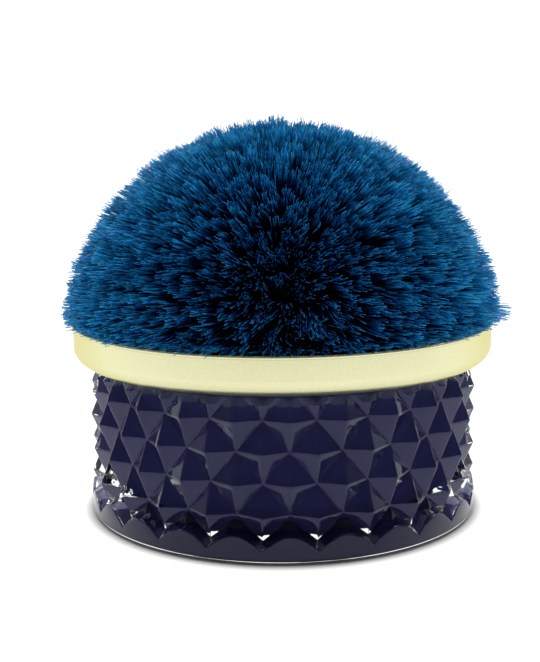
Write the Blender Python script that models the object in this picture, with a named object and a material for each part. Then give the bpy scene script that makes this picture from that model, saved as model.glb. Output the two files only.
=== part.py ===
"""A round vanity trinket box: a pressed-glass jar with a navy lining, and a lid with a dome of bristles.

The jar's foot stands on Z = 0 and the jar's axis is the Z axis. The lid lifts straight up.
"""

import math

import bmesh
import bpy
from mathutils import Vector

# Driving dimensions, in metres.
DIAMOND_COLUMNS = 24
DIAMOND_HEIGHT = 0.0143
LOWEST_TIP_Z = 0.0031
TIP_RADIUS = 0.0483
GROOVE_RADIUS = 0.0453
BAND_RADIUS = 0.0485
BAND_ARCH_TOP = 0.0062
BAND_ARCH_FOOT = 0.0037
HEEL_RADIUS = 0.0013
FOOT_RING_INSIDE = 0.0385
FOOT_HOLLOW_DEPTH = 0.0008
FOOT_HOLLOW_FLAT = 0.0220
JAR_HEIGHT = 0.0376
SHOULDER_Z = 0.0366
RIM_OUTER_RADIUS = 0.0446
MOUTH_RADIUS = 0.0410
GLASS_FLOOR_Z = 0.0050
INSIDE_CORNER = 0.0085

GAP = 0.0003
LINER_WALL = 0.0008
LINER_RIM_DROP = 0.0004

PAN_RADIUS = 0.0520
PAN_SHEET = 0.0007
PAN_FLOOR_Z = JAR_HEIGHT + GAP
PAN_DEPTH = 0.0095
PAN_CORNER = 0.0040
PAN_BEAD = 0.0005
PAN_BEAD_PROUD = 0.0002

PLUG_RADIUS = 0.0389
PLUG_THICKNESS = 0.0052
PLUG_CHAMFER = 0.0008
RING_GROOVE_RADIUS = 0.0372
RING_GROOVE_LOW = 0.0016
RING_GROOVE_HIGH = 0.0038
RING_LIP_RADIUS = 0.0396

BLOCK_RADIUS = 0.0338
BLOCK_SIDE = 0.0061
BLOCK_DOME = 0.0210
BLOCK_CHAMFER = 0.0008

SCREW_COUNT = 4
SCREW_CIRCLE = 0.0200
SCREW_HEAD_RADIUS = 0.0029
SCREW_HEAD_HEIGHT = 0.0017
SCREW_SHANK_RADIUS = 0.0015
SCREW_LENGTH = 0.0130
SCREW_TIP = 0.0020
SLOT_WIDTH = 0.0008
SLOT_DEPTH = 0.0009

DOME_RADIUS = 0.0558
DOME_CENTRE_Z = 0.0393
DOME_TOP_Z = 0.0965
ROW_COUNT = 6
ROW_STEPS = 2
CROWN_ANGLE = math.radians(15)
LOWEST_ANGLE = math.radians(84)
FAN_CENTRE_Z = 0.0450

ROUND_SEGMENTS = 48
SCREW_SEGMENTS = 16
SHARP_ANGLE = math.radians(35)

LEVEL_STEP = DIAMOND_HEIGHT / 2


def clear_scene():
    for obj in list(bpy.data.objects):
        bpy.data.objects.remove(obj, do_unlink=True)


def make_material(name, colour, roughness, metallic=0.0):
    material = bpy.data.materials.new(name)
    material.use_nodes = True
    shader = material.node_tree.nodes["Principled BSDF"]
    shader.inputs["Base Color"].default_value = (*colour, 1.0)
    shader.inputs["Roughness"].default_value = roughness
    shader.inputs["Metallic"].default_value = metallic
    material.diffuse_color = (*colour, 1.0)
    return material


def arc(centre_r, centre_z, radius, start, end, steps):
    """Profile points (r, z) on an arc; the angles are in degrees, counted from +r towards +z."""
    points = []
    for step in range(steps + 1):
        angle = math.radians(start + (end - start) * step / steps)
        points.append((centre_r + radius * math.cos(angle), centre_z + radius * math.sin(angle)))
    return points


def on_ring(radius, z, turn):
    """The point at this radius and height, with turn counted in whole turns from -Y towards +X."""
    angle = 2 * math.pi * turn
    return Vector((radius * math.sin(angle), -radius * math.cos(angle), z))


def object_from(mesh_builder, name, material, location=(0, 0, 0)):
    """Makes a named object from a bmesh, with its normals pointing out and its round faces smooth."""
    bmesh.ops.recalc_face_normals(mesh_builder, faces=mesh_builder.faces)
    mesh = bpy.data.meshes.new(name)
    mesh_builder.to_mesh(mesh)
    mesh_builder.free()
    mesh.shade_smooth()
    mesh.set_sharp_from_angle(angle=SHARP_ANGLE)
    mesh.materials.append(material)
    obj = bpy.data.objects.new(name, mesh)
    obj.location = location
    bpy.context.scene.collection.objects.link(obj)
    return obj


def ring_of_vertices(mesh_builder, radius, z, segments):
    if radius == 0:
        return [mesh_builder.verts.new((0, 0, z))]
    return [mesh_builder.verts.new(on_ring(radius, z, i / segments)) for i in range(segments)]


def bridge(mesh_builder, first, second):
    """Joins two rings of vertices, either of which may be a single point on the axis."""
    count = max(len(first), len(second))
    for i in range(count):
        corners = []
        for ring, steps in ((first, (i, i + 1)), (second, (i + 1, i))):
            if len(ring) == 1:
                corners.append(ring[0])
            else:
                corners.extend(ring[step % count] for step in steps)
        mesh_builder.faces.new(corners)


def turned(name, profile, material, segments=ROUND_SEGMENTS, closed=False, location=(0, 0, 0)):
    """A solid of revolution. An open profile starts and ends on the axis; a closed one makes a ring."""
    mesh_builder = bmesh.new()
    rings = [ring_of_vertices(mesh_builder, r, z, segments) for r, z in profile]
    pairs = list(zip(rings, rings[1:]))
    if closed:
        pairs.append((rings[-1], rings[0]))
    for first, second in pairs:
        bridge(mesh_builder, first, second)
    return object_from(mesh_builder, name, material, location)


# Glass jar


def lattice_points(mesh_builder, level):
    """The 48 corners of one level of the diamond lattice: tips and groove crossings in turn."""
    z = LOWEST_TIP_Z + level * LEVEL_STEP
    points = []
    for half_column in range(2 * DIAMOND_COLUMNS):
        radius = GROOVE_RADIUS if (half_column + level) % 2 else TIP_RADIUS
        turn = half_column / (2 * DIAMOND_COLUMNS)
        points.append(mesh_builder.verts.new(on_ring(radius, z, turn)))
    return points


def join_levels(mesh_builder, lower, upper, level):
    """The flat triangular facets between a level and the next one up: each groove is a shared edge."""
    count = 2 * DIAMOND_COLUMNS
    for half_column in range(count):
        after = (half_column + 1) % count
        corners = (lower[half_column], lower[after], upper[after], upper[half_column])
        groove_rises = (half_column + level) % 2 == 1
        if groove_rises:
            triangles = ((0, 1, 2), (0, 2, 3))
        else:
            triangles = ((0, 1, 3), (1, 2, 3))
        for triangle in triangles:
            mesh_builder.faces.new([corners[i] for i in triangle])


def slope_radius(at_groove, start_z, z):
    """Radius on the vertical ridge above or below a lattice corner that starts at start_z."""
    share = abs(z - start_z) / LEVEL_STEP
    if at_groove:
        return GROOVE_RADIUS + (TIP_RADIUS - GROOVE_RADIUS) * share
    return TIP_RADIUS - (TIP_RADIUS - GROOVE_RADIUS) * share


def arch_height(quarter):
    """Height of the foot band's scalloped edge: an arch over each whole column."""
    return BAND_ARCH_FOOT + (BAND_ARCH_TOP - BAND_ARCH_FOOT) * abs(math.cos(math.pi * quarter / 4))


def arch_rows(mesh_builder, start_z):
    """The band's edge where it meets the facets, and the band's shoulder just outside it."""
    inner, outer = [], []
    for quarter in range(4 * DIAMOND_COLUMNS):
        turn = quarter / (4 * DIAMOND_COLUMNS)
        z = arch_height(quarter)
        middle = slope_radius(True, start_z, BAND_ARCH_TOP)
        corner = slope_radius(False, start_z, BAND_ARCH_FOOT)
        side = GROOVE_RADIUS + (middle - GROOVE_RADIUS) / 2
        radius = (middle, side, corner, side)[quarter % 4]
        inner.append(mesh_builder.verts.new(on_ring(radius, z, turn)))
        outer.append(mesh_builder.verts.new(on_ring(BAND_RADIUS, z - 2 * GAP, turn)))
    return inner, outer


def join_to_arches(mesh_builder, level_points, arches):
    """The facets between the lowest full level, which has two corners a column, and the arches, which have four."""
    for half_column in range(2 * DIAMOND_COLUMNS):
        after = (half_column + 1) % (2 * DIAMOND_COLUMNS)
        here, there = level_points[half_column], level_points[after]
        start = 2 * half_column
        low = [arches[(start + i) % (4 * DIAMOND_COLUMNS)] for i in range(3)]
        if half_column % 2 == 0:
            fan = ((here, low[0], low[1]), (here, low[1], low[2]), (here, low[2], there))
        else:
            fan = ((there, low[1], low[2]), (there, low[0], low[1]), (here, low[0], there))
        for triangle in fan:
            mesh_builder.faces.new(triangle)


def quarter_ring(mesh_builder, radius, z):
    return ring_of_vertices(mesh_builder, radius, z, 4 * DIAMOND_COLUMNS)


def shoulder_points(mesh_builder, level, z):
    """Where the facets above this level are cut off level, two points a column."""
    start_z = LOWEST_TIP_Z + level * LEVEL_STEP
    points = []
    for half_column in range(2 * DIAMOND_COLUMNS):
        radius = slope_radius((half_column + level) % 2 == 1, start_z, z)
        points.append(mesh_builder.verts.new(on_ring(radius, z, half_column / (2 * DIAMOND_COLUMNS))))
    return points


def foot_profile():
    """From the band's lower edge round the heel, across the foot ring and the hollow under it to the axis."""
    heel = arc(BAND_RADIUS - HEEL_RADIUS, HEEL_RADIUS, HEEL_RADIUS, 0, -90, 3)
    hollow = [
        (FOOT_RING_INSIDE, 0.0),
        (FOOT_HOLLOW_FLAT, FOOT_HOLLOW_DEPTH),
        (0, FOOT_HOLLOW_DEPTH),
    ]
    return heel + hollow


def cup_inside(radius, floor_z, corner, top_z):
    """From the axis out along a cup's floor, round its corner and up its wall."""
    rising = arc(radius - corner, floor_z + corner, corner, -90, 0, 4)
    return [(0, floor_z)] + rising + [(radius, top_z)]


def make_glass_jar(material):
    mesh_builder = bmesh.new()
    top_level = 4
    levels = [lattice_points(mesh_builder, level) for level in range(1, top_level + 1)]
    for index in range(len(levels) - 1):
        join_levels(mesh_builder, levels[index], levels[index + 1], index + 1)
    arches, band_edge = arch_rows(mesh_builder, LOWEST_TIP_Z + LEVEL_STEP)
    join_to_arches(mesh_builder, levels[0], arches)
    bridge(mesh_builder, arches, band_edge)
    rings = [band_edge] + [quarter_ring(mesh_builder, r, z) for r, z in foot_profile()[:-1]]
    rings.append(ring_of_vertices(mesh_builder, *foot_profile()[-1], 1))
    for first, second in zip(rings, rings[1:]):
        bridge(mesh_builder, first, second)

    shoulder = shoulder_points(mesh_builder, top_level, SHOULDER_Z)
    join_levels(mesh_builder, levels[-1], shoulder, top_level)
    rim_rise = JAR_HEIGHT - SHOULDER_Z
    inside = cup_inside(MOUTH_RADIUS, GLASS_FLOOR_Z, INSIDE_CORNER, JAR_HEIGHT - rim_rise / 2)
    rim = [
        (RIM_OUTER_RADIUS, JAR_HEIGHT - rim_rise / 2),
        (RIM_OUTER_RADIUS - rim_rise / 2, JAR_HEIGHT),
        (MOUTH_RADIUS + rim_rise / 2, JAR_HEIGHT),
    ]
    top_rings = [shoulder]
    for r, z in rim + inside[::-1]:
        top_rings.append(ring_of_vertices(mesh_builder, r, z, 2 * DIAMOND_COLUMNS))
    for first, second in zip(top_rings, top_rings[1:]):
        bridge(mesh_builder, first, second)
    return object_from(mesh_builder, "glass_jar", material)


def make_liner(material):
    top_z = JAR_HEIGHT - LINER_RIM_DROP
    outer = cup_inside(MOUTH_RADIUS - GAP, GLASS_FLOOR_Z + GAP, INSIDE_CORNER, top_z)
    inner = cup_inside(
        MOUTH_RADIUS - GAP - LINER_WALL, GLASS_FLOOR_Z + GAP + LINER_WALL, INSIDE_CORNER - LINER_WALL, top_z
    )
    return turned("navy_liner", outer + inner[::-1], material)


# Lid


def make_lid_pan(material):
    """A drawn pan: flat floor, round lower corner, upright wall and a rim rolled outwards."""
    floor = PAN_FLOOR_Z
    rim = floor + PAN_DEPTH
    inner = PAN_RADIUS - PAN_SHEET
    outside = [(0, floor)] + arc(PAN_RADIUS - PAN_CORNER, floor + PAN_CORNER, PAN_CORNER, -90, 0, 4)
    bead = arc(PAN_RADIUS - PAN_BEAD + PAN_BEAD_PROUD, rim - PAN_BEAD, PAN_BEAD, -60, 180, 5)
    inside_corner = arc(inner - PAN_CORNER, floor + PAN_SHEET + PAN_CORNER, PAN_CORNER, 0, -90, 4)
    inside = [(inner, rim - 2 * PAN_BEAD)] + inside_corner + [(0, floor + PAN_SHEET)]
    return turned("lid_pan", outside + bead + inside, material)


def ring_groove(bottom):
    return [
        (PLUG_RADIUS, bottom + RING_GROOVE_LOW),
        (RING_GROOVE_RADIUS, bottom + RING_GROOVE_LOW),
        (RING_GROOVE_RADIUS, bottom + RING_GROOVE_HIGH),
        (PLUG_RADIUS, bottom + RING_GROOVE_HIGH),
    ]


def make_plug(material):
    top = PAN_FLOOR_Z - GAP
    bottom = top - PLUG_THICKNESS
    profile = [(0, bottom), (PLUG_RADIUS - PLUG_CHAMFER, bottom), (PLUG_RADIUS, bottom + PLUG_CHAMFER)]
    profile += ring_groove(bottom) + [(PLUG_RADIUS, top), (0, top)]
    return turned("lid_plug", profile, material)


def make_seal_ring(material):
    """A soft ring with two lips, loose by the fitting gap in the plug's groove."""
    bottom = PAN_FLOOR_Z - GAP - PLUG_THICKNESS
    low = bottom + RING_GROOVE_LOW + GAP
    high = bottom + RING_GROOVE_HIGH - GAP
    middle = (low + high) / 2
    inner = RING_GROOVE_RADIUS + GAP
    waist = (inner + RING_LIP_RADIUS) / 2
    profile = [(inner, low), (RING_LIP_RADIUS, low), (waist, middle), (RING_LIP_RADIUS, high), (inner, high)]
    return turned("seal_ring", profile, material, closed=True)


def block_profile(grow=0.0):
    """The tuft block's domed side, from the axis at the top down to its shoulder, grown outwards by grow."""
    shoulder_z = PAN_FLOOR_Z + PAN_SHEET + GAP + BLOCK_SIDE
    points = []
    steps = 8
    for step in range(steps + 1):
        angle = math.pi / 2 * step / steps
        radius = (BLOCK_RADIUS + grow) * math.sin(angle)
        points.append((radius if step else 0, shoulder_z + (BLOCK_DOME + grow) * math.cos(angle)))
    return points


def make_tuft_block(material):
    bottom = PAN_FLOOR_Z + PAN_SHEET + GAP
    base = [(BLOCK_RADIUS, bottom + BLOCK_CHAMFER), (BLOCK_RADIUS - BLOCK_CHAMFER, bottom), (0, bottom)]
    return turned("tuft_block", block_profile() + base, material)


def screw_places():
    for number in range(SCREW_COUNT):
        yield number + 1, on_ring(SCREW_CIRCLE, 0, (number + 0.5) / SCREW_COUNT)


def screw_profile(grow=0.0):
    """A countersunk screw with its head's face on Z = 0, pointing up."""
    shank = SCREW_SHANK_RADIUS + grow
    return [
        (0, -grow),
        (SCREW_HEAD_RADIUS + grow, -grow),
        (shank, SCREW_HEAD_HEIGHT + grow),
        (shank, SCREW_LENGTH - SCREW_TIP),
        (0, SCREW_LENGTH + grow),
    ]


def cut(obj, cutter):
    """Takes the cutter away from obj, and keeps it out of the model."""
    cutter.hide_render = True
    cutter.display_type = "WIRE"
    modifier = obj.modifiers.new(cutter.name, "BOOLEAN")
    modifier.operation = "DIFFERENCE"
    modifier.object = cutter


def make_screws(material, drilled):
    """The four screws, the holes that they pass through, and the cross recess in each head."""
    head_z = PAN_FLOOR_Z - GAP - PLUG_THICKNESS + GAP
    for number, place in screw_places():
        location = (place.x, place.y, head_z)
        name = f"block_screw_{number}"
        screw = turned(name, screw_profile(), material, SCREW_SEGMENTS, location=location)
        hole = turned(f"{name}_hole", screw_profile(GAP), material, SCREW_SEGMENTS, location=location)
        for obj in drilled:
            cut(obj, hole)
        cut(screw, make_cross(f"{name}_cross", material, location))


def make_cross(name, material, location):
    """The cross recess in a screw's head: a plus-shaped outline, extruded."""
    mesh_builder = bmesh.new()
    half, reach = SLOT_WIDTH / 2, 0.62 * SCREW_HEAD_RADIUS
    outline = []
    for quarter in range(4):
        angle = math.pi / 2 * quarter
        for along, across in ((reach, -half), (reach, half), (half, half)):
            x = along * math.cos(angle) - across * math.sin(angle)
            y = along * math.sin(angle) + across * math.cos(angle)
            outline.append(mesh_builder.verts.new((x, y, -SLOT_DEPTH)))
    floor = mesh_builder.faces.new(outline)
    lifted = bmesh.ops.extrude_face_region(mesh_builder, geom=[floor])
    raised = [item for item in lifted["geom"] if isinstance(item, bmesh.types.BMVert)]
    bmesh.ops.translate(mesh_builder, vec=(0, 0, 2 * SLOT_DEPTH), verts=raised)
    return object_from(mesh_builder, name, material, location)


# Bristles


def fan_point(angle, wide, high, centre_z):
    """Where a line from the fan's centre, at this angle from +Z, leaves an ellipse centred on the axis."""
    drop = FAN_CENTRE_Z - centre_z
    a = (math.sin(angle) / wide) ** 2 + (math.cos(angle) / high) ** 2
    b = 2 * drop * math.cos(angle) / high**2
    c = (drop / high) ** 2 - 1
    reach = (-b + math.sqrt(b * b - 4 * a * c)) / (2 * a)
    return reach * math.sin(angle), FAN_CENTRE_Z + reach * math.cos(angle)


def dome_point(angle):
    """A point on the trimmed outside of the dome."""
    return fan_point(angle, DOME_RADIUS, DOME_TOP_Z - DOME_CENTRE_Z, DOME_CENTRE_Z)


def root_point(angle):
    """A point on the tuft block, with the fitting gap added."""
    shoulder_z = PAN_FLOOR_Z + PAN_SHEET + GAP + BLOCK_SIDE
    return fan_point(angle, BLOCK_RADIUS + 1.5 * GAP, BLOCK_DOME + 1.5 * GAP, shoulder_z)


def shell_between(first_angle, last_angle, steps):
    """Closed profile of one row: out along its upper side, down the trimmed outside, back along the roots."""
    angles = [first_angle + (last_angle - first_angle) * step / steps for step in range(steps + 1)]
    return [dome_point(angle) for angle in angles] + [root_point(angle) for angle in angles[::-1]]


def make_bristles(materials):
    """The crown, then the rows from the one under it down to the one that hangs over the pan's rim."""
    trim = GAP / (2 * BLOCK_RADIUS)
    crown_angles = [CROWN_ANGLE * step / 2 for step in range(3)]
    crown = [dome_point(angle) for angle in crown_angles] + [root_point(angle) for angle in crown_angles[::-1]]
    crown = [(r if angle else 0, z) for (r, z), angle in zip(crown, crown_angles + crown_angles[::-1])]
    turned("bristle_crown", crown, materials[0])
    width = (LOWEST_ANGLE - CROWN_ANGLE) / ROW_COUNT
    for row in range(ROW_COUNT):
        number = ROW_COUNT - row
        start = CROWN_ANGLE + row * width + 2 * trim
        end = CROWN_ANGLE + (row + 1) * width
        profile = shell_between(start, end, ROW_STEPS)
        if number == 1:
            profile[ROW_STEPS + 1 : ROW_STEPS + 1] = overhang()
        turned(f"bristle_row_{number}", profile, materials[row % 2], closed=True)


def overhang():
    """The lowest row's underside: in over the pan's rim, then down into the pan, clear of the sheet."""
    rim = PAN_FLOOR_Z + PAN_DEPTH
    inner_wall = PAN_RADIUS - PAN_SHEET
    return [
        (DOME_RADIUS - 3 * GAP, rim + 4 * GAP),
        (PAN_RADIUS, rim + 2 * GAP),
        (inner_wall - 4 * GAP, rim + GAP),
        (inner_wall - 4 * GAP, rim - PAN_DEPTH / 3),
        (BLOCK_RADIUS + 2 * GAP, PAN_FLOOR_Z + PAN_DEPTH / 2),
    ]


def main():
    clear_scene()
    glass = make_material("clear_glass", (0.86, 0.88, 0.90), 0.05)
    navy = make_material("navy_lacquer", (0.012, 0.012, 0.055), 0.3)
    gold = make_material("champagne_gold", (0.80, 0.75, 0.48), 0.25, 1.0)
    plastic = make_material("black_plastic", (0.03, 0.03, 0.035), 0.45)
    silicone = make_material("clear_silicone", (0.75, 0.76, 0.76), 0.5)
    block = make_material("beech_block", (0.50, 0.34, 0.20), 0.6)
    steel = make_material("zinc_plated_steel", (0.62, 0.62, 0.64), 0.35, 1.0)
    bristles = [
        make_material("blue_bristle_a", (0.005, 0.11, 0.34), 0.5),
        make_material("blue_bristle_b", (0.004, 0.09, 0.28), 0.5),
    ]
    make_glass_jar(glass)
    make_liner(navy)
    pan = make_lid_pan(gold)
    plug = make_plug(plastic)
    tuft_block = make_tuft_block(block)
    make_seal_ring(silicone)
    make_screws(steel, [plug, pan, tuft_block])
    make_bristles(bristles)


main()
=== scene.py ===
"""The looks of the vanity trinket box: faceted glass over navy, a gold pan and a dome of bristles.

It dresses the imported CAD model: lengths are in metres and angles in radians, in the CAD's own frame.
"""

import math

import bmesh
import bpy
import numpy as np
from mathutils import Matrix, Vector


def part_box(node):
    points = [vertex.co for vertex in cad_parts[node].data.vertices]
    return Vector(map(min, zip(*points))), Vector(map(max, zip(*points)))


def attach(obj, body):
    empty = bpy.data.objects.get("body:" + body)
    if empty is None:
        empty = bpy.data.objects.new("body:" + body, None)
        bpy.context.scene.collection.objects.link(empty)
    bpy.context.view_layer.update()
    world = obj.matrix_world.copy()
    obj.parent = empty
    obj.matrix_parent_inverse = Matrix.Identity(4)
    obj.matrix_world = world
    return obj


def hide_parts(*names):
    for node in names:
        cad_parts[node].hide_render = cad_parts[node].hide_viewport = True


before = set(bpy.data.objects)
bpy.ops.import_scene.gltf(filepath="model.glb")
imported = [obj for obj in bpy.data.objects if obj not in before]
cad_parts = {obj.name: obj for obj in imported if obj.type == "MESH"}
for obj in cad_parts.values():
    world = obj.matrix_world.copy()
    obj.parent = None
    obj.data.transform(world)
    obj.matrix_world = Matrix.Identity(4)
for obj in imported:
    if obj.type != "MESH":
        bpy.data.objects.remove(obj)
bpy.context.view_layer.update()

SEED = 71
MM = 0.001
WELD = 0.0005 * MM

# Materials: the noise's usual range and roughness, and what the grain and the dye need.
NOISE_LOW = 0.3
NOISE_HIGH = 0.7
NOISE_ROUGHNESS = 0.55
GRAIN_STRETCH = (1.0, 8.0, 8.0)
DYE_VARIATION = 0.12
DEPTH_SPAN = 1.1

# Glass: the diamond lattice, in half columns round the jar and levels up it.
COLUMNS = 24
HALF_COLUMNS = 2 * COLUMNS
LEVELS = 4
CELL_SPOTS = (0, 0.0167, 0.0333, 0.05, 0.15, 0.3, 0.5, 0.7, 0.85, 0.95, 0.9667, 0.9833)
LEVEL_STEP = 7.15 * MM
LOWEST_TIP_Z = 3.1 * MM
TIP_RADIUS = 48.3 * MM
GROOVE_RADIUS = 45.3 * MM
RIDGE_ROUND = 0.085 * MM
ROUND_SHARE = 0.05

# Glass: the foot band with its arched edge and ledge, the neck, the foot and the inside.
BAND_RADIUS = 48.5 * MM
BAND_PLAIN = 0.3 * MM
BAND_ARCH_TOP = 6.4 * MM
BAND_SHOULDER = 0.4 * MM
BAND_DRAFT = 0.6
SHOULDER_ANGLES = (22.5, 45, 67.5, 90)
LEDGE_SHARES = (0.33, 0.67, 1.0)
TO_GROOVE_SHARES = (0.15, 0.3, 0.5, 0.7, 0.85, 1.0)
TO_LEVEL_SHARES = (0.2, 0.4, 0.6, 0.8, 0.9, 0.95, 0.967, 0.983)
BLEND = 0.12 * MM
NECK_RADIUS = 44.6 * MM
NECK_Z = 36.95 * MM
NECK_SLOPE = 2.0
HEEL_RADIUS = 1.3 * MM
FOOT_RING_INSIDE = 38.5 * MM
FOOT_RING_ROW = 42.5 * MM
FOOT_HOLLOW = 0.8 * MM
HOLLOW_FLAT = 22.0 * MM
JAR_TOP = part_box("glass_jar")[1].z
RIM_ROUND = 0.5 * MM
MOUTH_RADIUS = 41.0 * MM
GLASS_FLOOR_Z = 5.0 * MM
INSIDE_CORNER = 8.5 * MM
FLOOR_ROWS = (22 * MM, 11 * MM)
GLASS_WALL_ROWS = (33 * MM, 28 * MM, 23 * MM)
GLASS_SHARP = 18

# Navy lining, let a little into the glass so that the two look bonded.
BOND = 0.05 * MM
LINER_WALL = 0.8 * MM
LINER_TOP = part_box("navy_liner")[1].z
LINER_WALL_ROWS = (33 * MM, 28 * MM, 22 * MM)
LINER_SEGMENTS = 192

# Gold pan.
PAN_FLOOR_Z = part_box("lid_pan")[0].z
PAN_RIM_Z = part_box("lid_pan")[1].z
PAN_RADIUS = 52.0 * MM
PAN_SHEET = 0.7 * MM
PAN_CORNER = 4.0 * MM
PAN_BEAD = 0.5 * MM
PAN_BEAD_PROUD = 0.2 * MM
PAN_BEAD_DEPTH = 2.2 * PAN_BEAD
PAN_ROWS = (36 * MM, 18 * MM)
PAN_SEGMENTS = 256
PAN_SHARP = 40
SCREWS = range(1, 5)
SCREW_HOLE_RADIUS = 1.8 * MM
SCREW_HOLE_LENGTH = 4 * MM
SCREW_HOLE_SEGMENTS = 32

# Bristles: the trimmed dome, the block and the fan they grow from.
DOME_RADIUS = 55.8 * MM
DOME_CENTRE_Z = 39.3 * MM
DOME_HEIGHT = 57.2 * MM
DOME_EDGE_ANGLE = math.radians(87)
DOME_STEPS = 400
FAN_CENTRE_Z = 45.0 * MM
BLOCK_RADIUS = 33.8 * MM
BLOCK_HEIGHT = 21.0 * MM
LOWEST_TIP = 48.7 * MM
LEAN_LINEAR = 1.80
LEAN_SQUARE = 0.81
ROOT_SHARE = 0.86
MIDDLE_WANDER = 0.5 * MM
SAMPLES = (0.0, 0.45, 0.78, 1.0)
FIBRE_RADIUS = 0.10 * MM
FIBRE_TAPER = (0.8, 1.0, 1.0, 0.85)
FIBRE_SIDES = 3

# Bristles: tufts made up of wisps, wisps made up of fibres, and how far each wanders.
TUFTS = 620
TUFT_JITTER = 0.4
TUFT_TILT = 0.05
TUFT_LENGTHS = 0.5 * MM
WISPS = 4800
WISP_JITTER = 0.8
WISP_TILT = 0.07
WISP_LENGTHS = 0.45 * MM
WISP_PULL = 0.2
WISP_FIBRES = 6
FIBRE_OFFSET = 0.85 * MM
FIBRE_TILT = 0.03
FIBRE_LENGTHS = 0.3 * MM
TIP_SHARES = (0.4, 0.9)
TILT_REACH = 10 * MM
TRIM = 0.8 * MM
STRAY_SHARE = 0.02
STRAY_TILT = 0.14
STRAY_EXTRA = (0.3, 1.2)

# Bristles: the fringe that lies over the pan's rim, and the room left round the pan.
FRINGE_WISPS = 700
FRINGE_INNER = 49.0 * MM
FRINGE_OUTER = 54.4 * MM
FRINGE_ABOVE_RIM = (0.1, 2.0)
FRINGE_ROOTS = (-2.0, 1.0)
FRINGE_ANGLE = math.radians(84)
FRINGE_TILT = 0.07
FRINGE_TURN = 0.12
FRINGE_WANDER = 0.5 * MM
RIM_ROOM = 0.45 * MM
RIM_WIDTH = 5 * MM
DROOP_START = 0.8 * MM
DROOP_WIDTH = 2 * MM
DROOP = 0.9 * MM
PAN_FLOOR_ROOM = 2.5 * MM

# Bristles: the rows that they are shared out over.
ROW_NAMES = ("bristle_crown",) + tuple(f"bristle_row_{n}" for n in range(6, 0, -1))
CROWN_ANGLE = math.radians(15)
LOWEST_ANGLE = math.radians(84)
ROW_WIDTH = (LOWEST_ANGLE - CROWN_ANGLE) / 6

# Studio.
SOFTBOX_TURN = math.radians(115)
SOFTBOX_HEIGHT = math.radians(50)
SOFTBOX_DISTANCE = 0.7
SOFTBOX_SIZE = (0.3, 0.5)
SOFTBOX_POWER = 1.2
SOFTBOX_TARGET = Vector((0, 0, 0.05))
FLOOR_HALF = 4.0
FLOOR_Z = -0.0002
# Between these radii the floor's glow fades out round the jar: a painted contact shadow.
FLOOR_PAINTED_SHADOW_WITHIN = 0.0480
FLOOR_PAINTED_SHADOW_EDGE = 0.0510
FLOOR_GLOW = 0.85


# Materials


def new_material(name):
    """A material, its nodes, its Principled shader, and a shorthand that adds a node with its settings."""
    material = bpy.data.materials.new(name)
    material.use_nodes = True
    tree = material.node_tree
    shader = tree.nodes["Principled BSDF"]

    def add(kind, **settings):
        node = tree.nodes.new(kind)
        for key, value in settings.items():
            setattr(node, key, value)
        return node

    return material, tree, shader, add


def noise_into(tree, add, coordinates, scale, detail):
    node = add("ShaderNodeTexNoise")
    node.inputs["Scale"].default_value = scale
    node.inputs["Detail"].default_value = detail
    node.inputs["Roughness"].default_value = NOISE_ROUGHNESS
    tree.links.new(coordinates, node.inputs["Vector"])
    return node


def ramp(tree, add, source, stops):
    """A colour ramp with the given (position, colour) stops, or grey values in place of colours."""
    node = add("ShaderNodeValToRGB")
    elements = node.color_ramp.elements
    while len(elements) < len(stops):
        elements.new(0.5)
    for element, (position, colour) in zip(elements, stops):
        element.position = position
        if isinstance(colour, float):
            colour = (colour, colour, colour)
        element.color = (*colour, 1.0)
    tree.links.new(source, node.inputs["Fac"])
    return node.outputs["Color"]


def spread(tree, add, noise, socket, low, high):
    """Feeds the socket a colour or grey value that runs from low to high as the noise does."""
    stops = [(NOISE_LOW, low), (NOISE_HIGH, high)]
    tree.links.new(ramp(tree, add, noise.outputs["Fac"], stops), socket)


def bump(tree, add, shader, height, distance):
    node = add("ShaderNodeBump")
    node.inputs["Distance"].default_value = distance
    tree.links.new(height, node.inputs["Height"])
    tree.links.new(node.outputs["Normal"], shader.inputs["Normal"])


def glass_material():
    material, tree, shader, add = new_material("pressed_glass")
    shader.inputs["Base Color"].default_value = (0.985, 0.992, 0.99, 1)
    shader.inputs["Transmission Weight"].default_value = 1.0
    shader.inputs["IOR"].default_value = 1.5
    shader.inputs["Specular IOR Level"].default_value = 0.68
    shader.inputs["Specular Tint"].default_value = (0.62, 0.64, 1.0, 1)
    where = add("ShaderNodeTexCoord").outputs["Object"]
    streaks = noise_into(tree, add, where, scale=160, detail=3.0)
    rough = ramp(tree, add, streaks.outputs["Fac"], [(0.4, 0.0), (0.9, 0.05)])
    tree.links.new(rough, shader.inputs["Roughness"])
    waves = noise_into(tree, add, where, scale=260, detail=2.0)
    bump(tree, add, shader, waves.outputs["Fac"], distance=0.00006)
    return material


def liner_outside_material():
    """Lacquer under the glass that it is bonded to, so with no gloss of its own."""
    material, tree, shader, add = new_material("navy_bonded")
    where = add("ShaderNodeTexCoord").outputs["Object"]
    patches = noise_into(tree, add, where, scale=90, detail=5.0)
    spread(tree, add, patches, shader.inputs["Base Color"], (0.016, 0.018, 0.082), (0.022, 0.024, 0.105))
    shader.inputs["Specular IOR Level"].default_value = 0.0
    shader.inputs["Roughness"].default_value = 0.7
    return material


def liner_inside_material():
    material, tree, shader, add = new_material("navy_gloss")
    where = add("ShaderNodeTexCoord").outputs["Object"]
    patches = noise_into(tree, add, where, scale=120, detail=4.0)
    spread(tree, add, patches, shader.inputs["Base Color"], (0.012, 0.012, 0.06), (0.018, 0.018, 0.08))
    peel = noise_into(tree, add, where, scale=900, detail=2.0)
    spread(tree, add, peel, shader.inputs["Roughness"], 0.18, 0.3)
    bump(tree, add, shader, peel.outputs["Fac"], distance=0.00002)
    return material


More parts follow.
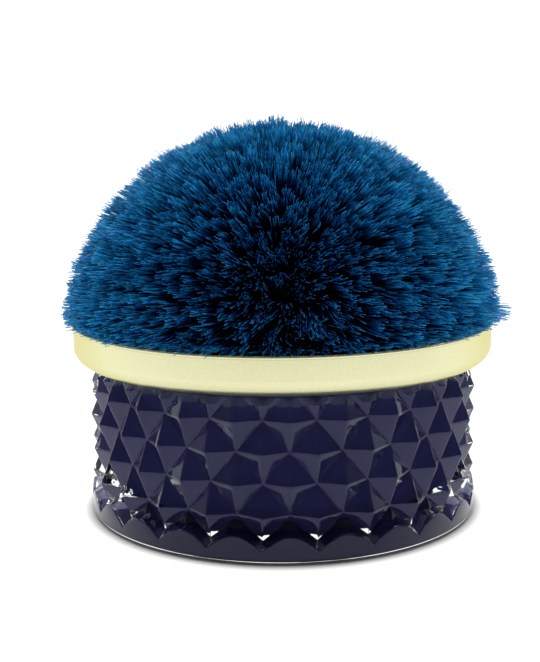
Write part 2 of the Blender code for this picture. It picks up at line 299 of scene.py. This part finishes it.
def gold_material():
    material, tree, shader, add = new_material("champagne_gold")
    shader.inputs["Metallic"].default_value = 1.0
    shader.inputs["Specular Tint"].default_value = (0.78, 0.74, 0.52, 1)
    where = add("ShaderNodeTexCoord").outputs["Object"]
    clouds = noise_into(tree, add, where, scale=45, detail=4.0)
    spread(tree, add, clouds, shader.inputs["Base Color"], (0.66, 0.655, 0.40), (0.69, 0.685, 0.43))
    satin = noise_into(tree, add, where, scale=2600, detail=2.0)
    spread(tree, add, satin, shader.inputs["Roughness"], 0.26, 0.32)
    bump(tree, add, shader, satin.outputs["Fac"], distance=0.000001)
    return material


def plastic_material():
    material, tree, shader, add = new_material("black_plastic")
    where = add("ShaderNodeTexCoord").outputs["Object"]
    grain = noise_into(tree, add, where, scale=3500, detail=3.0)
    spread(tree, add, grain, shader.inputs["Base Color"], (0.018, 0.018, 0.02), (0.035, 0.035, 0.038))
    spread(tree, add, grain, shader.inputs["Roughness"], 0.4, 0.55)
    bump(tree, add, shader, grain.outputs["Fac"], distance=0.00003)
    return material


def silicone_material():
    material, tree, shader, add = new_material("clear_silicone")
    where = add("ShaderNodeTexCoord").outputs["Object"]
    cloud = noise_into(tree, add, where, scale=400, detail=3.0)
    spread(tree, add, cloud, shader.inputs["Base Color"], (0.70, 0.72, 0.72), (0.80, 0.81, 0.81))
    shader.inputs["Roughness"].default_value = 0.45
    shader.inputs["Transmission Weight"].default_value = 0.35
    bump(tree, add, shader, cloud.outputs["Fac"], distance=0.00003)
    return material


def wood_material():
    material, tree, shader, add = new_material("ebonised_block")
    where = add("ShaderNodeTexCoord").outputs["Object"]
    stretch = add("ShaderNodeMapping")
    stretch.inputs["Scale"].default_value = GRAIN_STRETCH
    tree.links.new(where, stretch.inputs["Vector"])
    grain = noise_into(tree, add, stretch.outputs["Vector"], scale=90, detail=6.0)
    spread(tree, add, grain, shader.inputs["Base Color"], (0.018, 0.014, 0.016), (0.04, 0.032, 0.034))
    shader.inputs["Roughness"].default_value = 0.6
    bump(tree, add, shader, grain.outputs["Fac"], distance=0.0001)
    return material


def steel_material():
    material, tree, shader, add = new_material("zinc_plate")
    shader.inputs["Metallic"].default_value = 1.0
    where = add("ShaderNodeTexCoord").outputs["Object"]
    spangle = noise_into(tree, add, where, scale=1400, detail=3.0)
    spread(tree, add, spangle, shader.inputs["Base Color"], (0.52, 0.53, 0.55), (0.68, 0.68, 0.68))
    spread(tree, add, spangle, shader.inputs["Roughness"], 0.25, 0.42)
    return material


def bristle_material():
    """Dyed nylon which lets light through, ramped from near black at the roots to bright blue at the tips:
    painted shade deep in the dome and painted backlit glow at the ends.
    """
    material, tree, shader, add = new_material("blue_bristle")
    where = add("ShaderNodeTexCoord").outputs["Object"]
    from_centre = add("ShaderNodeVectorMath", operation="SUBTRACT")
    from_centre.inputs[1].default_value = (0, 0, DOME_CENTRE_Z)
    tree.links.new(where, from_centre.inputs[0])
    scaled = add("ShaderNodeVectorMath", operation="DIVIDE")
    scaled.inputs[1].default_value = (DOME_RADIUS, DOME_RADIUS, DOME_HEIGHT)
    tree.links.new(from_centre.outputs["Vector"], scaled.inputs[0])
    painted_shade_depth = add("ShaderNodeVectorMath", operation="LENGTH")
    tree.links.new(scaled.outputs["Vector"], painted_shade_depth.inputs[0])
    dye = noise_into(tree, add, where, scale=420, detail=3.0)
    varied = add("ShaderNodeMath", operation="MULTIPLY_ADD")
    varied.inputs[1].default_value = DYE_VARIATION
    tree.links.new(dye.outputs["Fac"], varied.inputs[0])
    tree.links.new(painted_shade_depth.outputs["Value"], varied.inputs[2])
    # From near black at the roots, which is painted shade deep in the dome, to bright blue at the tips,
    # which is partly the dye and partly painted backlit glow.
    stops = [
        (0.88, (0.008, 0.007, 0.018)),
        (0.97, (0.004, 0.020, 0.085)),
        (1.03, (0.005, 0.10, 0.36)),
        (1.09, (0.016, 0.28, 0.74)),
    ]
    shade = add("ShaderNodeMath", operation="DIVIDE")
    shade.inputs[1].default_value = DEPTH_SPAN
    tree.links.new(varied.outputs["Value"], shade.inputs[0])
    colour = ramp(tree, add, shade.outputs["Value"], [(place / DEPTH_SPAN, tint) for place, tint in stops])
    tree.links.new(colour, shader.inputs["Base Color"])
    shader.inputs["Roughness"].default_value = 0.22
    shader.inputs["Subsurface Weight"].default_value = 1.0
    shader.inputs["Subsurface Radius"].default_value = (0.4, 0.8, 1.0)
    shader.inputs["Subsurface Scale"].default_value = 0.5 * MM
    return material


# Turned and lattice shapes


def arc(centre_r, centre_z, radius, start, end, steps):
    """Profile points (r, z) on an arc; the angles are in degrees, counted from +r towards +z."""
    angles = np.radians(np.linspace(start, end, steps + 1))
    return [(centre_r + radius * math.cos(a), centre_z + radius * math.sin(a)) for a in angles]


def revolved(rings, turns):
    """Points and faces of rings swept round the axis; a ring is (r or r per turn, z or z per turn)."""
    segments = len(turns)
    points, starts = [], []
    for radius, z in rings:
        starts.append(sum(len(p) for p in points))
        if np.isscalar(radius) and radius == 0:
            points.append(np.array([[0.0, 0.0, z]]))
            continue
        r = np.broadcast_to(radius, segments)
        points.append(np.stack([r * np.sin(turns), -r * np.cos(turns), np.broadcast_to(z, segments)], 1))

    def corners(ring, *steps):
        """The ring's points at these steps, or its only point where it closes on the axis."""
        if len(points[ring]) == 1:
            return [starts[ring]]
        return [starts[ring] + step for step in steps]

    faces = []
    for ring in range(len(rings) - 1):
        for i in range(segments):
            j = (i + 1) % segments
            faces.append(corners(ring, i, j) + corners(ring + 1, j, i))
    return np.concatenate(points), faces


def even_turns(segments):
    return 2 * np.pi * np.arange(segments) / segments


def mesh_object(name, points, faces, materials, sharp=None):
    """A welded, smooth-shaded mesh in the scene; edges bent more than sharp degrees stay crisp."""
    mesh = bpy.data.meshes.new(name)
    mesh.from_pydata([tuple(p) for p in points], [], faces)
    mesh.validate()
    builder = bmesh.new()
    builder.from_mesh(mesh)
    bmesh.ops.remove_doubles(builder, verts=builder.verts, dist=WELD)
    builder.to_mesh(mesh)
    builder.free()
    mesh.shade_smooth()
    if sharp is not None:
        mesh.set_sharp_from_angle(angle=math.radians(sharp))
    for material in materials:
        mesh.materials.append(material)
    obj = bpy.data.objects.new(name, mesh)
    bpy.context.scene.collection.objects.link(obj)
    return obj


def facet_radius(a, z):
    """Radius of the flat diamond facets; a counts half columns round the jar."""
    v = (z - LOWEST_TIP_Z) / LEVEL_STEP
    even_sum = 2 * np.round((a + v) / 2)
    even_gap = 2 * np.round((a - v) / 2)
    tip_a, tip_v = (even_sum + even_gap) / 2, (even_sum - even_gap) / 2
    x, y = a - tip_a, v - tip_v
    sx, sy = np.where(x < 0, -1.0, 1.0), np.where(y < 0, -1.0, 1.0)
    step = 2 * math.pi / HALF_COLUMNS
    side = GROOVE_RADIUS * math.sin(step)
    back = GROOVE_RADIUS * math.cos(step) - TIP_RADIUS
    normal_r = sx * side * sy * LEVEL_STEP
    normal_t = -back * sy * LEVEL_STEP
    normal_z = -sx * side * (GROOVE_RADIUS - TIP_RADIUS)
    height = y * LEVEL_STEP
    radius = (normal_r * TIP_RADIUS - normal_z * height) / (
        normal_r * np.cos(x * step) + normal_t * np.sin(x * step)
    )
    from_groove = np.clip((1 - np.abs(x) - np.abs(y)) / ROUND_SHARE, 0, 1)
    upright = np.maximum(0, 1 - np.abs(x) / ROUND_SHARE) ** 2
    level = np.maximum(0, 1 - np.abs(y) / ROUND_SHARE) ** 2
    return radius - RIDGE_ROUND * (upright + level) * from_groove


def smooth_min(first, second, width):
    return (first + second - np.sqrt((first - second) ** 2 + width**2)) / 2


def jar_radius(a, z):
    """The outside of the jar above the foot band: facets, cut by the neck's cone at the top."""
    neck = NECK_RADIUS + NECK_SLOPE * np.maximum(0, NECK_Z - z)
    return smooth_min(facet_radius(a, z), neck, BLEND)


def foot_band_rings(a):
    """Rings up the band to its arched edge, in over its ledge, then up the facets to the first level."""
    rings = []
    across = np.abs(a - 2 * np.round(a / 2))
    edge = LOWEST_TIP_Z + (BAND_ARCH_TOP - LOWEST_TIP_Z) * np.cos(math.pi * across / 2)
    plain_top = HEEL_RADIUS + BAND_PLAIN
    for share in np.linspace(0, 1, 4):
        rings.append((BAND_RADIUS, plain_top + share * (edge - BAND_SHOULDER - plain_top)))
    for angle in np.radians(SHOULDER_ANGLES):
        inward = BAND_SHOULDER * (1 - math.cos(angle))
        rings.append((BAND_RADIUS - inward, edge - BAND_SHOULDER * (1 - math.sin(angle))))
    outer = BAND_RADIUS - BAND_SHOULDER
    groove = LOWEST_TIP_Z + LEVEL_STEP * (1 - across)
    inner_z = edge + BAND_DRAFT * (outer - jar_radius(a, edge))
    groove = np.maximum(groove, inner_z)
    inner = jar_radius(a, inner_z)
    for share in LEDGE_SHARES:
        rings.append((outer + share * (inner - outer), edge + share * (inner_z - edge)))
    for share in TO_GROOVE_SHARES:
        z = inner_z + share * (groove - inner_z)
        rings.append((jar_radius(a, z), z))
    level = LOWEST_TIP_Z + LEVEL_STEP
    for share in TO_LEVEL_SHARES:
        z = groove + share * (level - groove)
        rings.append((jar_radius(a, z), z))
    return rings


def make_glass():
    """The jar in one skin: up its outside from the foot, over the mouth and down to the inside's floor."""
    spots = np.array(CELL_SPOTS)
    a = (np.arange(HALF_COLUMNS)[:, None] + spots).ravel()
    rings = [(0, FOOT_HOLLOW), (HOLLOW_FLAT / 2, FOOT_HOLLOW), (HOLLOW_FLAT, FOOT_HOLLOW)]
    rings += [(FOOT_RING_INSIDE, 0.0), (FOOT_RING_ROW, 0.0)]
    rings += arc(BAND_RADIUS - HEEL_RADIUS, HEEL_RADIUS, HEEL_RADIUS, -90, 0, 6)
    rings += foot_band_rings(a)
    lattice_start = len(rings)
    levels = (1 + np.arange(LEVELS)[:, None] + spots).ravel()
    levels = levels[levels < (NECK_Z - LOWEST_TIP_Z) / LEVEL_STEP]
    for level in levels:
        z = LOWEST_TIP_Z + level * LEVEL_STEP
        rings.append((jar_radius(a, z), z))
    rings += arc(NECK_RADIUS - RIM_ROUND, JAR_TOP - RIM_ROUND, RIM_ROUND, 0, 90, 4)
    rings += arc(MOUTH_RADIUS + RIM_ROUND, JAR_TOP - RIM_ROUND, RIM_ROUND, 90, 180, 4)
    rings += [(MOUTH_RADIUS, z) for z in GLASS_WALL_ROWS]
    rings += arc(MOUTH_RADIUS - INSIDE_CORNER, GLASS_FLOOR_Z + INSIDE_CORNER, INSIDE_CORNER, 0, -90, 10)
    rings += [(r, GLASS_FLOOR_Z) for r in (*FLOOR_ROWS, 0)]
    points, faces = revolved(rings, 2 * math.pi * a / HALF_COLUMNS)
    faces = split_along_grooves(faces, lattice_start, len(levels) - 1, len(a))
    return mesh_object("glass_body", points, faces, [glass_material()], sharp=GLASS_SHARP)


def split_along_grooves(faces, start, rows, segments):
    """Cuts each lattice quad along the diagonal that its groove follows."""
    steps = len(CELL_SPOTS)
    cut = []
    for index, face in enumerate(faces):
        row, column = divmod(index, segments)
        row -= start
        if not 0 <= row < rows or len(face) != 4:
            cut.append(face)
            continue
        groove_rises = (column // steps + row // steps) % 2 == 0
        if groove_rises:
            cut += [[face[0], face[1], face[2]], [face[0], face[2], face[3]]]
        else:
            cut += [[face[0], face[1], face[3]], [face[1], face[2], face[3]]]
    return cut


def make_liner():
    """The lining: its bonded outside, its rounded lip and its glossy inside."""
    radius, floor = MOUTH_RADIUS + BOND, GLASS_FLOOR_Z - BOND
    outer = [(r, floor) for r in (0, *reversed(FLOOR_ROWS))]
    outer += arc(radius - INSIDE_CORNER, floor + INSIDE_CORNER, INSIDE_CORNER, -90, 0, 12)
    outer += [(radius, z) for z in reversed(LINER_WALL_ROWS)]
    inner_radius, inner_floor = MOUTH_RADIUS - LINER_WALL, GLASS_FLOOR_Z + LINER_WALL
    corner = INSIDE_CORNER - LINER_WALL
    lip = (radius - inner_radius) / 2
    top = arc(radius - lip, LINER_TOP - lip, lip, 0, 180, 8)
    inner = [(inner_radius, z) for z in LINER_WALL_ROWS]
    inner += arc(inner_radius - corner, inner_floor + corner, corner, 0, -90, 12)
    inner += [(r, inner_floor) for r in (*FLOOR_ROWS, 0)]
    points, faces = revolved(outer + top + inner, even_turns(LINER_SEGMENTS))
    obj = mesh_object("navy_lining", points, faces, [liner_outside_material(), liner_inside_material()])
    outside_faces = (len(outer) + 2) * LINER_SEGMENTS
    for polygon in obj.data.polygons:
        polygon.material_index = 0 if polygon.index < outside_faces else 1
    return obj


def make_pan():
    """The drawn pan with its beaded rim, and the holes for the screws in its floor."""
    inner = PAN_RADIUS - PAN_SHEET
    profile = [(r, PAN_FLOOR_Z) for r in (0, *reversed(PAN_ROWS))]
    profile += arc(PAN_RADIUS - PAN_CORNER, PAN_FLOOR_Z + PAN_CORNER, PAN_CORNER, -90, 0, 14)
    profile += arc(PAN_RADIUS - PAN_BEAD + PAN_BEAD_PROUD, PAN_RIM_Z - PAN_BEAD, PAN_BEAD, -60, 200, 14)
    profile += [(inner, PAN_RIM_Z - PAN_BEAD_DEPTH)]
    inner_corner = PAN_CORNER - PAN_SHEET
    profile += arc(inner - inner_corner, PAN_FLOOR_Z + PAN_SHEET + inner_corner, inner_corner, 0, -90, 10)
    profile += [(r, PAN_FLOOR_Z + PAN_SHEET) for r in (*PAN_ROWS, 0)]
    points, faces = revolved(profile, even_turns(PAN_SEGMENTS))
    pan = mesh_object("gold_pan", points, faces, [gold_material()], sharp=PAN_SHARP)
    for number in SCREWS:
        low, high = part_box(f"block_screw_{number}")
        cut_hole(pan, (low + high) / 2, SCREW_HOLE_RADIUS)
    return pan


def cut_hole(obj, centre, radius):
    """Cuts an upright round hole right through the pan's floor."""
    low = PAN_FLOOR_Z - SCREW_HOLE_LENGTH / 2
    high = low + SCREW_HOLE_LENGTH
    rings = [(0, low), (radius, low), (radius, high), (0, high)]
    points, faces = revolved(rings, even_turns(SCREW_HOLE_SEGMENTS))
    cutter = mesh_object("hole_cutter", points + np.array([centre.x, centre.y, 0]), faces, [])
    modifier = obj.modifiers.new("hole", "BOOLEAN")
    modifier.operation = "DIFFERENCE"
    modifier.solver = "EXACT"
    modifier.object = cutter
    with bpy.context.temp_override(object=obj, active_object=obj):
        bpy.ops.object.modifier_apply(modifier="hole")
    bpy.data.objects.remove(cutter)


# Bristles


def unit(vectors):
    return vectors / np.linalg.norm(vectors, axis=-1, keepdims=True)


def ellipse_point(polar, azimuth, wide, high, centre_z):
    """Where rays from the fan's centre, at these angles from +Z, leave an ellipsoid round the axis."""
    drop = FAN_CENTRE_Z - centre_z
    a = (np.sin(polar) / wide) ** 2 + (np.cos(polar) / high) ** 2
    b = 2 * drop * np.cos(polar) / high**2
    c = (drop / high) ** 2 - 1
    reach = (-b + np.sqrt(b * b - 4 * a * c)) / (2 * a)
    across = reach * np.sin(polar)
    return np.stack(
        [across * np.sin(azimuth), -across * np.cos(azimuth), FAN_CENTRE_Z + reach * np.cos(polar)], -1
    )


def spread_over_dome(count, rng, jitter):
    """Polar angle and azimuth of points spread evenly over the dome, from its top to the lowest tips."""
    grid = np.linspace(0, DOME_EDGE_ANGLE, DOME_STEPS)
    edge = ellipse_point(grid, 0 * grid, DOME_RADIUS, DOME_HEIGHT, DOME_CENTRE_Z)
    radius = -edge[:, 1]
    strip = np.hypot(np.diff(radius), np.diff(edge[:, 2])) * (radius[1:] + radius[:-1]) / 2
    area = np.concatenate([[0], np.cumsum(strip)])
    last = np.interp(-LOWEST_TIP, -edge[:, 2], area)
    number = np.arange(count) + 0.5
    share = (number + rng.normal(0, jitter * 6, count)) / count
    polar = np.interp(np.clip(share, 0, 1) * last, area, grid)
    golden_turns = number * math.pi * (3 - math.sqrt(5))
    azimuth = golden_turns + rng.normal(0, jitter * 0.02, count) / np.maximum(0.2, np.sin(polar))
    return polar, azimuth


def lean(polar):
    """How far from upright a bristle's end points, for its place on the dome: the outer ones flop over."""
    share = polar / (math.pi / 2)
    return (LEAN_LINEAR * share - LEAN_SQUARE * share**2) * math.pi / 2


def basis(polar, azimuth):
    """The direction at this tilt and the two directions across it: down the slope, and round the axis."""
    s, c = np.sin(polar), np.cos(polar)
    outward = np.stack([np.sin(azimuth), -np.cos(azimuth), 0 * azimuth], -1)
    up = np.array([0.0, 0.0, 1.0])
    along = outward * s[:, None] + up * c[:, None]
    down = outward * c[:, None] - up * s[:, None]
    around = np.stack([np.cos(azimuth), np.sin(azimuth), 0 * azimuth], -1)
    return along, down, around


def bristle_curves():
    """Sampled centre lines of all the bristles, (count, 4, 3), and the polar angle of each one's tip."""
    rng = np.random.default_rng(SEED)
    tuft_polar, tuft_azimuth = spread_over_dome(TUFTS, rng, TUFT_JITTER)
    wisp_polar, wisp_azimuth = spread_over_dome(WISPS, rng, WISP_JITTER)
    tuft_at = ellipse_point(tuft_polar, tuft_azimuth, DOME_RADIUS, DOME_HEIGHT, DOME_CENTRE_Z)
    wisp_at = ellipse_point(wisp_polar, wisp_azimuth, DOME_RADIUS, DOME_HEIGHT, DOME_CENTRE_Z)
    owner = ((wisp_at[:, None, :] - tuft_at[None, :, :]) ** 2).sum(-1).argmin(1)
    tuft_tilt = rng.normal(0, TUFT_TILT, (TUFTS, 2))
    tuft_long = rng.normal(0, TUFT_LENGTHS, TUFTS)
    wisp_tilt = rng.normal(0, WISP_TILT, (WISPS, 2)) + tuft_tilt[owner]
    wisp_long = rng.normal(0, WISP_LENGTHS, WISPS) + tuft_long[owner]
    wisp_pull = (tuft_at[owner] - wisp_at) * WISP_PULL

    count = WISPS * WISP_FIBRES
    wisp = np.repeat(np.arange(WISPS), WISP_FIBRES)
    polar, azimuth = wisp_polar[wisp], wisp_azimuth[wisp]
    along, down, around = basis(lean(polar), azimuth)
    offset = rng.normal(0, FIBRE_OFFSET, (count, 2))
    tip_share = rng.uniform(*TIP_SHARES, count)[:, None]
    tilt = wisp_tilt[wisp] + rng.normal(0, FIBRE_TILT, (count, 2))
    stray = rng.random(count) < STRAY_SHARE
    tilt[stray] += rng.normal(0, STRAY_TILT, (stray.sum(), 2))
    long = wisp_long[wisp] + rng.normal(0, FIBRE_LENGTHS, count) - TRIM
    long[stray] += rng.uniform(*STRAY_EXTRA, stray.sum()) * MM

    tip = wisp_at[wisp] + wisp_pull[wisp]
    tip = tip + down * (offset[:, :1] * tip_share + tilt[:, :1] * TILT_REACH)
    tip = tip + around * (offset[:, 1:] * tip_share + tilt[:, 1:] * TILT_REACH)
    tip = back_onto_dome(tip)
    heading = unit(along + down * tilt[:, :1] + around * tilt[:, 1:])
    tip = tip + heading * long[:, None]
    root = ellipse_point(ROOT_SHARE * polar, azimuth, BLOCK_RADIUS, BLOCK_HEIGHT, FAN_CENTRE_Z)
    root = root + around * offset[:, 1:] + np.cross(around, unit(root)) * offset[:, :1]
    curves = bent(root, heading, tip, rng)
    curves = keep_off_pan(np.concatenate([curves, fringe_curves(rng)]))
    tip = curves[:, -1]
    return curves, np.arctan2(np.hypot(tip[:, 0], tip[:, 1]), tip[:, 2] - FAN_CENTRE_Z)


def bent(root, heading, tip, rng):
    """Four points along each bristle, which leaves its root and bends until it ends in its heading."""
    span = np.linalg.norm(tip - root, axis=1, keepdims=True)
    middle = tip - heading * span * 0.5 + rng.normal(0, MIDDLE_WANDER, tip.shape)
    steps = np.array(SAMPLES)[None, :, None]
    start = (1 - steps) ** 2 * root[:, None]
    bend = 2 * steps * (1 - steps) * middle[:, None]
    return start + bend + steps**2 * tip[:, None]


def fringe_curves(rng):
    """The lowest bristles, which lie over the pan's rim and close the gap between it and the dome."""
    azimuth = (np.arange(FRINGE_WISPS) + rng.uniform(0, 1, FRINGE_WISPS)) * 2 * math.pi / FRINGE_WISPS
    azimuth = np.repeat(azimuth, WISP_FIBRES)
    count = len(azimuth)
    outward = rng.uniform(FRINGE_INNER, FRINGE_OUTER, count)
    rise = PAN_RIM_Z + rng.uniform(*FRINGE_ABOVE_RIM, count) * MM
    tilt = FRINGE_ANGLE + rng.normal(0, FRINGE_TILT, count)
    along, _, around = basis(tilt, azimuth)
    heading = unit(along + around * rng.normal(0, FRINGE_TURN, (count, 1)))
    tip = np.stack([outward * np.sin(azimuth), -outward * np.cos(azimuth), rise], 1)
    tip = tip + around * rng.normal(0, FRINGE_WANDER, (count, 1))
    root = np.stack([BLOCK_RADIUS * np.sin(azimuth), -BLOCK_RADIUS * np.cos(azimuth), 0 * azimuth], 1)
    root[:, 2] = FAN_CENTRE_Z + rng.uniform(*FRINGE_ROOTS, count) * MM
    return bent(root, heading, tip, rng)


def back_onto_dome(points):
    """Points moved towards the dome's centre, or away from it, until they lie on the trimmed outside."""
    centre = np.array([0, 0, DOME_CENTRE_Z])
    scaled = (points - centre) / np.array([DOME_RADIUS, DOME_RADIUS, DOME_HEIGHT])
    return centre + (points - centre) / np.linalg.norm(scaled, axis=1, keepdims=True)


def keep_off_pan(curves):
    """Lifts whatever would touch the pan's floor or rim; outside the rim the ends may droop a little."""
    radius = np.hypot(curves[..., 0], curves[..., 1])
    outside = np.clip((radius - PAN_RADIUS - DROOP_START) / DROOP_WIDTH, 0, 1)
    over_rim = PAN_RIM_Z + RIM_ROOM - outside * DROOP
    lowest = np.where(radius > PAN_RADIUS - RIM_WIDTH, over_rim, PAN_FLOOR_Z + PAN_FLOOR_ROOM)
    curves[..., 2] = np.maximum(curves[..., 2], lowest)
    return curves


def bristle_object(name, curves, material, rng):
    """One mesh of three-sided tapered bristles with cut ends."""
    count, samples = curves.shape[:2]
    heading = unit(np.gradient(curves, axis=1))
    side = unit(np.cross(heading, rng.normal(size=(count, 1, 3))))
    other = np.cross(heading, side)
    taper = np.array(FIBRE_TAPER) * FIBRE_RADIUS
    rings = []
    for corner in range(FIBRE_SIDES):
        angle = 2 * math.pi * corner / FIBRE_SIDES
        rings.append(curves + (side * math.cos(angle) + other * math.sin(angle)) * taper[None, :, None])
    body = np.stack(rings, 2)
    points = np.concatenate([body.reshape(count, -1, 3), body[:, -1]], 1)
    per_fibre = points.shape[1]
    quads = []
    for sample in range(samples - 1):
        low, high = FIBRE_SIDES * sample, FIBRE_SIDES * (sample + 1)
        for corner in range(FIBRE_SIDES):
            after = (corner + 1) % FIBRE_SIDES
            quads.append([low + corner, low + after, high + after, high + corner])
    base = (np.arange(count) * per_fibre)[:, None, None]
    quad_loops = (np.array(quads)[None] + base).reshape(-1)
    cap = FIBRE_SIDES * samples + np.arange(FIBRE_SIDES)
    cap_loops = (cap[None, None] + base).reshape(-1)
    mesh = bpy.data.meshes.new(name)
    mesh.vertices.add(count * per_fibre)
    mesh.vertices.foreach_set("co", points.astype(np.float32).ravel())
    quad_count = count * len(quads)
    mesh.loops.add(len(quad_loops) + len(cap_loops))
    mesh.loops.foreach_set("vertex_index", np.concatenate([quad_loops, cap_loops]).astype(np.int32))
    mesh.polygons.add(quad_count + count)
    quad_starts = np.arange(quad_count) * 4
    starts = np.concatenate([quad_starts, quad_count * 4 + np.arange(count) * FIBRE_SIDES])
    mesh.polygons.foreach_set("loop_start", starts.astype(np.int32))
    mesh.update(calc_edges=True)
    mesh.shade_smooth()
    mesh.materials.append(material)
    obj = bpy.data.objects.new(name, mesh)
    bpy.context.scene.collection.objects.link(obj)
    return obj


def make_bristles():
    """One piece for each row, from the crown down."""
    curves, polar = bristle_curves()
    material = bristle_material()
    rng = np.random.default_rng(SEED + 1)
    row = np.clip(np.ceil((polar - CROWN_ANGLE) / ROW_WIDTH), 0, 6).astype(int)
    for index, node in enumerate(ROW_NAMES):
        obj = bristle_object(node.replace("bristle", "fibres"), curves[row == index], material, rng)
        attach(obj, "lid")
        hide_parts(node)


# Studio


def make_world():
    """A soft tent of light: bright behind the box and overhead, dim on the camera's side."""
    world = bpy.data.worlds.new("studio_tent")
    bpy.context.scene.world = world
    world.use_nodes = True
    tree = world.node_tree
    background = tree.nodes["Background"]
    background.inputs["Color"].default_value = (1, 1, 1, 1)
    where = tree.nodes.new("ShaderNodeTexCoord").outputs["Generated"]
    parts = tree.nodes.new("ShaderNodeSeparateXYZ")
    tree.links.new(where, parts.inputs["Vector"])

    def ranged(source, low, high, start, end):
        node = tree.nodes.new("ShaderNodeMapRange")
        node.interpolation_type = "SMOOTHSTEP"
        for key, value in (("From Min", low), ("From Max", high), ("To Min", start), ("To Max", end)):
            node.inputs[key].default_value = value
        tree.links.new(source, node.inputs["Value"])
        return node.outputs["Result"]

    behind = ranged(parts.outputs["Y"], -0.15, 0.75, 0.10, 1.25)
    overhead = ranged(parts.outputs["Z"], 0.3, 1.0, 0.0, 0.35)
    total = tree.nodes.new("ShaderNodeMath")
    total.operation = "ADD"
    tree.links.new(behind, total.inputs[0])
    tree.links.new(overhead, total.inputs[1])
    tree.links.new(total.outputs["Value"], background.inputs["Strength"])


def make_softbox(name, azimuth):
    """A softbox that faces the box from this azimuth, counted from the camera's side."""
    data = bpy.data.lights.new(name, "AREA")
    data.shape = "RECTANGLE"
    data.size, data.size_y = SOFTBOX_SIZE
    data.energy = SOFTBOX_POWER
    light = bpy.data.objects.new(name, data)
    bpy.context.scene.collection.objects.link(light)
    flat = SOFTBOX_DISTANCE * math.cos(SOFTBOX_HEIGHT)
    rise = SOFTBOX_DISTANCE * math.sin(SOFTBOX_HEIGHT)
    light.location = SOFTBOX_TARGET + Vector((flat * math.sin(azimuth), -flat * math.cos(azimuth), rise))
    light.rotation_euler = (SOFTBOX_TARGET - light.location).to_track_quat("-Z", "Y").to_euler()
    light.visible_camera = False


def make_floor():
    """A pale floor that glows like a light table everywhere but under and just round the jar, where its
    glow fades out as a painted contact shadow.
    """
    material, tree, shader, add = new_material("pale_floor")
    where = add("ShaderNodeTexCoord").outputs["Object"]
    grain = noise_into(tree, add, where, scale=30, detail=3.0)
    spread(tree, add, grain, shader.inputs["Base Color"], 0.48, 0.52)
    shader.inputs["Roughness"].default_value = 0.9
    shader.inputs["Emission Color"].default_value = (1, 1, 1, 1)
    flat = add("ShaderNodeVectorMath", operation="MULTIPLY")
    flat.inputs[1].default_value = (1, 1, 0)
    tree.links.new(where, flat.inputs[0])
    out = add("ShaderNodeVectorMath", operation="LENGTH")
    tree.links.new(flat.outputs["Vector"], out.inputs[0])
    # The glow is off under the jar and fades in round it: a painted contact shadow.
    glow_past_painted_shadow = add("ShaderNodeMapRange")
    glow_past_painted_shadow.inputs["From Min"].default_value = FLOOR_PAINTED_SHADOW_WITHIN
    glow_past_painted_shadow.inputs["From Max"].default_value = FLOOR_PAINTED_SHADOW_EDGE
    glow_past_painted_shadow.inputs["To Min"].default_value = 0.0
    glow_past_painted_shadow.inputs["To Max"].default_value = FLOOR_GLOW
    tree.links.new(out.outputs["Value"], glow_past_painted_shadow.inputs["Value"])
    tree.links.new(glow_past_painted_shadow.outputs["Result"], shader.inputs["Emission Strength"])
    corners = [(x * FLOOR_HALF, y * FLOOR_HALF, FLOOR_Z) for x, y in ((-1, -1), (1, -1), (1, 1), (-1, 1))]
    floor = mesh_object("studio_floor", corners, [[0, 1, 2, 3]], [material])


def make_camera():
    """The camera's place and angles are measured round the jar's axis, from the side that faces it."""
    distance, height = 0.29877, 0.09591
    yaw, pitch, roll, turn = -0.0101, 0.1732, -0.0095, -0.0322
    forward = Vector((math.sin(yaw) * math.cos(pitch), math.cos(yaw) * math.cos(pitch), -math.sin(pitch)))
    right = Vector((math.cos(yaw), -math.sin(yaw), 0))
    up = right.cross(forward)
    right, up = (
        math.cos(roll) * right + math.sin(roll) * up,
        -math.sin(roll) * right + math.cos(roll) * up,
    )
    axes = Matrix((right, up, -forward)).transposed().to_4x4()
    data = bpy.data.cameras.new("camera")
    data.sensor_width = 36
    data.lens = 65.43
    camera = bpy.data.objects.new("camera", data)
    bpy.context.scene.collection.objects.link(camera)
    place = Matrix.Translation((0, -distance, height)) @ axes
    camera.matrix_world = Matrix.Rotation(turn, 4, "Z") @ place
    bpy.context.scene.camera = camera


def dress_node(name, material):
    """Gives a solid that is shown as it is its own material."""
    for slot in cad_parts[name].material_slots:
        slot.material = material


def main():
    bpy.context.scene.view_settings.view_transform = "Standard"
    make_camera()
    make_world()
    make_softbox("left_softbox", -SOFTBOX_TURN)
    make_softbox("right_softbox", SOFTBOX_TURN)
    make_floor()

    glass = make_glass()
    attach(glass, "jar")
    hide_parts("glass_jar")

    lining = make_liner()
    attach(lining, "jar")
    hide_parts("navy_liner")

    pan = make_pan()
    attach(pan, "lid")
    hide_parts("lid_pan")

    make_bristles()
    dress_node("lid_plug", plastic_material())
    dress_node("seal_ring", silicone_material())
    dress_node("tuft_block", wood_material())
    steel = steel_material()
    for number in SCREWS:
        dress_node(f"block_screw_{number}", steel)


main()
